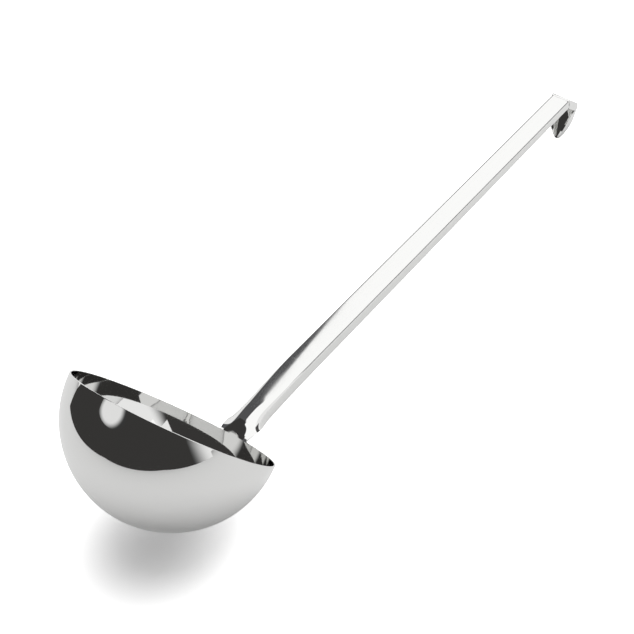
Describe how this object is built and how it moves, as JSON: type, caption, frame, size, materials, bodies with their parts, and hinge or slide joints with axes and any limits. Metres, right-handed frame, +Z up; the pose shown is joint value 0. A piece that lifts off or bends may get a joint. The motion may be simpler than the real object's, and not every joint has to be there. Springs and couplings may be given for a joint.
{
  "type": "soup ladle",
  "caption": "Polished steel soup ladle: a round bowl on a long channel-shaped handle, set at an angle to the rim, with a folded hook at the end to hang it by.",
  "frame": {"origin": "on the table under the middle of the part, as it lies on the round of the bowl and the tip of the hook", "axes": "+X from the bowl to the hook, +Z up from the table, XZ the plane of symmetry"},
  "size_m": [0.3986, 0.12, 0.1091],
  "materials": {
    "polished_steel": "bright polished stainless steel"
  },
  "bodies": {
    "root": {"bowl": "polished_steel", "neck": "polished_steel", "handle": "polished_steel", "hook": "polished_steel"}
  },
  "joints": []
}
